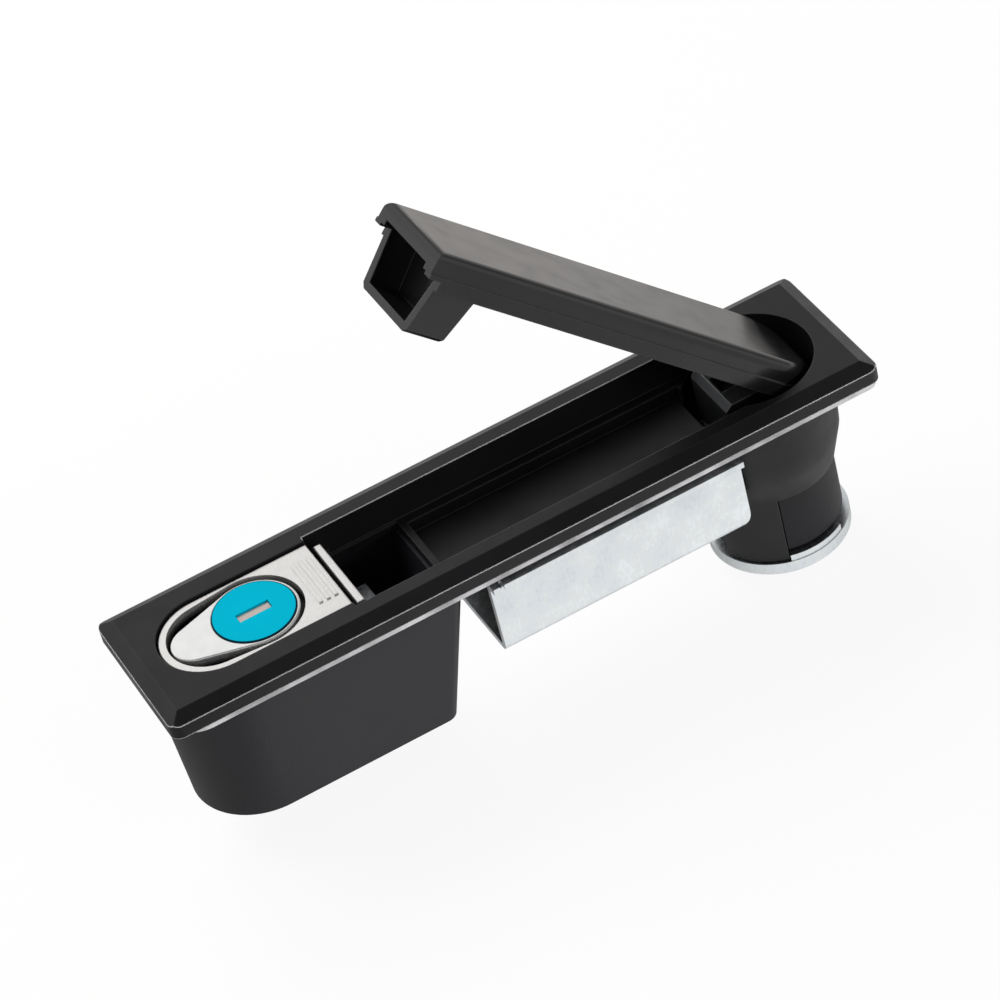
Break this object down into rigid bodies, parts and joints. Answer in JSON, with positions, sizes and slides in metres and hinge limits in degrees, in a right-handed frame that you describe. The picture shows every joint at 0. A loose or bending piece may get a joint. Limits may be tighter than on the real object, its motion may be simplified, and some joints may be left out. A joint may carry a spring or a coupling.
{
  "type": "swing handle lock",
  "caption": "Long flush lock for a cabinet door: lever lowered into a recess, lifted and turned on a spindle, held by a push button with a key cylinder.",
  "frame": {"origin": "where the spindle's axis crosses the panel seat, the gasket's lower face", "axes": "+Z out of the door along the spindle, -X from the spindle to the button, +Y to the left seen from the spindle's end"},
  "size_m": [0.17, 0.04, 0.1249],
  "materials": {
    "black_coating": "satin",
    "handle_coating": "satin",
    "black_polymer": "matte, fine grain",
    "sleeve_polymer": "satin",
    "gasket_rubber": "matte",
    "bright_zinc": "blue-white plated",
    "dark_steel": "blackened",
    "pin_steel": "satin",
    "spring_steel": "drawn",
    "cast_zinc": "as cast",
    "bright_chrome": "polished",
    "barrel_chrome": "polished",
    "plug_brass": "machined",
    "blue_disc": "gloss"
  },
  "bodies": {
    "base": {"base_housing": "black_coating", "panel_gasket": "gasket_rubber", "lock_box": "black_polymer", "box_screws": "dark_steel", "clamp_bracket": "bright_zinc", "clamp_screws": "bright_zinc", "clamp_washers": "bright_zinc", "stop_sleeve": "sleeve_polymer", "spindle_seal": "gasket_rubber"},
    "spindle": {"spindle": "cast_zinc", "thrust_washer": "gasket_rubber", "limiter_cup": "bright_zinc", "spindle_circlip": "dark_steel", "hinge_pin": "pin_steel", "popup_spring": "spring_steel"},
    "handle": {"handle_lever": "handle_coating"},
    "button": {"push_button": "bright_chrome", "lock_barrel": "barrel_chrome", "barrel_clip": "spring_steel", "chamber_strip": "cast_zinc", "driver_pins": "plug_brass", "pin_springs": "spring_steel", "button_spring": "spring_steel"},
    "plug": {"key_plug": "plug_brass", "plug_face": "blue_disc", "key_pins": "plug_brass", "plug_cam": "bright_zinc", "cam_screw": "dark_steel", "shutter_spring": "spring_steel"},
    "shutter": {"slot_shutter": "pin_steel"},
    "latch": {"latch_slide": "bright_zinc", "latch_spring": "spring_steel"}
  },
  "joints": [
    {"name": "spindle_swivel", "type": "hinge", "parent": "base", "child": "spindle", "pos_m": [0, 0, 0], "axis": [0, 0, 1], "range_deg": [0, 90]},
    {"name": "handle_lift", "type": "hinge", "parent": "spindle", "child": "handle", "pos_m": [0.0054, 0, 0.0006], "axis": [0, 1, 0], "range_deg": [-45, 0], "stiffness_Nm_per_rad": 0.08, "springref_deg": 57.3, "deforming": ["popup_spring"]},
    {"name": "button_press", "type": "slide", "parent": "base", "child": "button", "axis": [0, 0, -1], "range_m": [0, 0.0036], "stiffness_N_per_m": 800, "springref_m": -0.004, "deforming": ["button_spring"]},
    {"name": "key_turn", "type": "hinge", "parent": "button", "child": "plug", "pos_m": [-0.11925, 0, 0], "axis": [0, 0, 1], "range_deg": [-90, 0]},
    {"name": "shutter_drop", "type": "slide", "parent": "plug", "child": "shutter", "axis": [0, 0, -1], "range_m": [0, 0.0025], "stiffness_N_per_m": 100, "springref_m": -0.003, "deforming": ["shutter_spring"]},
    {"name": "latch_retract", "type": "slide", "parent": "base", "child": "latch", "axis": [-1, 0, 0], "range_m": [0, 0.0036], "stiffness_N_per_m": 300, "springref_m": -0.004, "deforming": ["latch_spring"]}
  ],
  "couplings": [
    {"joint": "latch_retract", "follows": "button_press", "ratio": 1}
  ]
}
